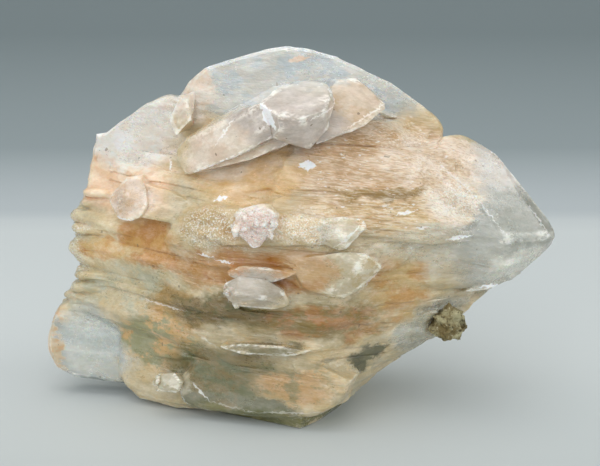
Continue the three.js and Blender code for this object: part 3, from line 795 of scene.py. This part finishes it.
def selenite():
    n = Nodes("selenite")
    place = n.add("TexCoord").outputs["Object"]
    layered = along_blades(n, place)
    stretched = n.vector("MULTIPLY", layered, (0.45, 1, 1))
    wide = n.vector("MULTIPLY", layered, (0.6, 1, 1))
    thin = n.vector("MULTIPLY", layered, (0.1, 1, 1))
    bent = n.shifted(place, wide, (0.018, 0.008, 0.011), 150, 4, 0.66)
    torn = n.shifted(place, place, (0.001, 0.001, 0.001), 1400, 0)

    # Patterns from 0 to 1
    mottle = n.noise(stretched, 1300, 3, 0.75)
    patches = n.ranged(n.noise(wide, 210, 5, 0.7), 0.44, 0.56)
    veil = n.ranged(n.noise(stretched, 300, 4, 0.7), 0.4, 0.64)
    cloud = n.noise(place, 110, 3, 0.6)
    lines = n.noise(thin, 2900, 2, 0.7)
    sugar = n.noise(place, 2600, 1, 0.6)
    sugary = sugar_share(n, bent)
    rim = n.add("Attribute", attribute_name="rim").outputs["Fac"]
    # Whitened edges: partly the crystal's own frosted edges, partly painted highlight where the edges catch
    # the light.
    edge = n.times(n.ranged(rim, 0.3, 0.9), n.ranged(mottle, 0.4, 0.52, 0.2, 1.0))
    first, second, clear, rough, lined = filling(n, bent)

    # The flashes, and the fine glints on the lined faces, are painted highlights where the light catches
    # them.
    painted_glints = n.math("GREATER_THAN", n.noise(stretched, 1700, 1), 0.7)
    lit = n.times(flashes(n, torn), n.ranged(mottle, 0.34, 0.42, 0.3, 1.0))
    lit = n.math("MAXIMUM", lit, n.times(painted_glints, lined, 0.6))

    colour = toned(n, n.mixed(patches, first, second), mottle, veil, cloud)
    for strength, mark in (
        # Pale lines: the blades' own striations, partly brightened as painted silky sheen
        (n.times(lined, n.ranged(lines, 0.51, 0.62, 0.0, 0.6)), "pale line"),
        (n.times(lined, n.ranged(lines, 0.49, 0.38, 0.0, 0.4)), "dark line"),
        (n.times(sugary, n.ranged(sugar, 0.5, 0.66, 0.0, 0.75)), "grain"),
        (n.times(sugary, n.ranged(sugar, 0.44, 0.32, 0.0, 0.25)), "gap"),
        # Partly painted highlight on the edges, partly their own frosted white, in the grain colour
        (n.times(edge, 0.6), "grain"),
        (lit, "flash"),
        (n.ranged(n.noise(place, 900, 0), 0.165, 0.14, 0.0, 0.6), "speck"),
    ):
        colour = n.mixed(strength, colour, MARKS[mark])

    hidden = n.total(n.times(veil, 0.1), n.times(lit, 0.6), n.times(edge, 0.3))
    rough = n.total(rough, n.times(cloud, 0.3), n.times(mottle, 0.3), -0.3)
    n.surface(
        {
            "Base Color": colour,
            "Transmission Weight": n.math("SUBTRACT", clear, hidden, clamp=True),
            "Roughness": n.math("MAXIMUM", rough, 0.08),
            "IOR": 1.52,
            "Subsurface Weight": 0.6,
            "Subsurface Radius": (1.0, 0.75, 0.55),
            "Subsurface Scale": 0.002,
            "Coat Weight": 0.5,
            "Coat Roughness": 0.08,
        }
    )

    # The heights of the bumps are in metres.
    silky = n.math("MAXIMUM", *[n.zone(place, centre, radii) for centre, radii in SILKY])
    height = n.total(
        n.times(lines, silky, 0.00026),
        n.times(lines, 0.00004),
        n.times(mottle, 0.00012),
        n.times(sugar, sugar_share(n, place), 0.0004),
    )
    n.bump(height, strength=1, distance=1)

    absorb = n.add("VolumeAbsorption")
    absorb.inputs["Color"].default_value = (0.96, 0.9, 0.8, 1)
    absorb.inputs["Density"].default_value = 14
    n.link(absorb.outputs[0], n.nt.nodes["Material Output"].inputs["Volume"])
    return n.mat


def rock_material():
    n = Nodes("matrix_rock")
    place = n.add("TexCoord").outputs["Object"]
    broad = n.noise(place, 260, 5, 0.6)
    fine = n.noise(place, 1300, 4, 0.65)
    colour = n.mixed(n.ranged(broad, 0.42, 0.58), ROCK["brown"], ROCK["grey"])
    colour = n.mixed(n.ranged(fine, 0.56, 0.7), colour, ROCK["pale"])
    # Painted shade: the low spots of the fine noise, which are also the bump's hollows, are darkened.
    colour = n.mixed(n.ranged(fine, 0.44, 0.36), colour, ROCK["pit_shade"])
    n.surface({"Base Color": colour, "Roughness": n.ranged(broad, 0.3, 0.7, 0.7, 0.95)})
    n.bump(fine, strength=0.8, distance=0.0005)
    return n.mat


sweep()
lighting()

PIECES = [
    (crystal, selenite, "selenite_blade", "selenite"),
    (rock, rock_material, "matrix_lump", "matrix_rock"),
]
for shape, material, node, slot in PIECES:
    piece = shape()
    piece.data.materials.append(material())
    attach(piece, "root")
    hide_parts(node)
